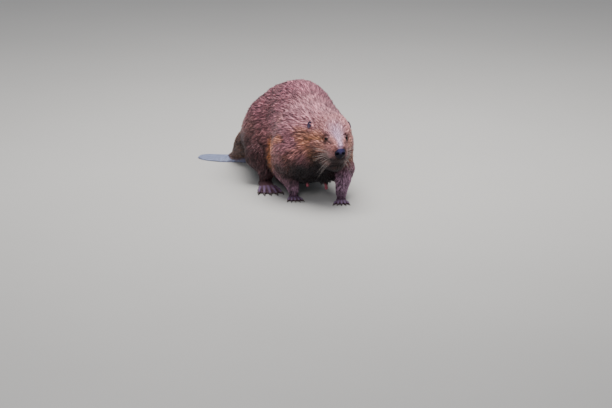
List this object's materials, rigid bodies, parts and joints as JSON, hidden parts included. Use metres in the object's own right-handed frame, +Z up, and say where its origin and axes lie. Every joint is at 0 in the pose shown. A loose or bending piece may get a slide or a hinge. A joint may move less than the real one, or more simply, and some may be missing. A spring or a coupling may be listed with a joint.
{
  "type": "walking beaver figure",
  "caption": "Life-size still beaver in mid walk: humped furry body, blunt head held forward, webbed hind feet, clawed fore feet and a flat scaly tail swung to its right.",
  "frame": {"origin": "middle of the footprint's box on the floor, at the height of the soles", "axes": "+Z up, -Y the way the animal faces, +X its left side"},
  "size_m": [0.4224, 0.8958, 0.3677],
  "materials": {
    "coat": "dense damp brown fur",
    "skin": "bare grey-lilac skin of the feet, damp",
    "scales": "scaly grey tail skin, satin",
    "nose": "dark moist nose leather",
    "ear": "short dark fur over thin skin",
    "claw": "dark horn, satin",
    "eye": "wet dark eye, glossy"
  },
  "bodies": {
    "root": {"claw_fore_left_1": "claw", "claw_fore_left_2": "claw", "claw_fore_left_3": "claw", "claw_fore_left_4": "claw", "claw_fore_left_5": "claw", "claw_fore_right_1": "claw", "claw_fore_right_2": "claw", "claw_fore_right_3": "claw", "claw_fore_right_4": "claw", "claw_fore_right_5": "claw", "claw_hind_left_1": "claw", "claw_hind_left_2": "claw", "claw_hind_left_3": "claw", "claw_hind_left_4": "claw", "claw_hind_left_5": "claw", "claw_hind_right_1": "claw", "claw_hind_right_2": "claw", "claw_hind_right_3": "claw", "claw_hind_right_4": "claw", "claw_hind_right_5": "claw", "ear_left": "ear", "ear_right": "ear", "eye_left": "eye", "eye_right": "eye", "fore_foot_left": "skin", "fore_foot_right": "skin", "forearm_left": "coat", "forearm_right": "coat", "haunch_left": "coat", "haunch_right": "coat", "head": "coat", "hind_foot_left": "skin", "hind_foot_right": "skin", "neck": "coat", "nose_pad": "nose", "shank_left": "coat", "shank_right": "coat", "tail_blade": "scales", "tail_root": "coat", "trunk": "coat"}
  },
  "joints": []
}
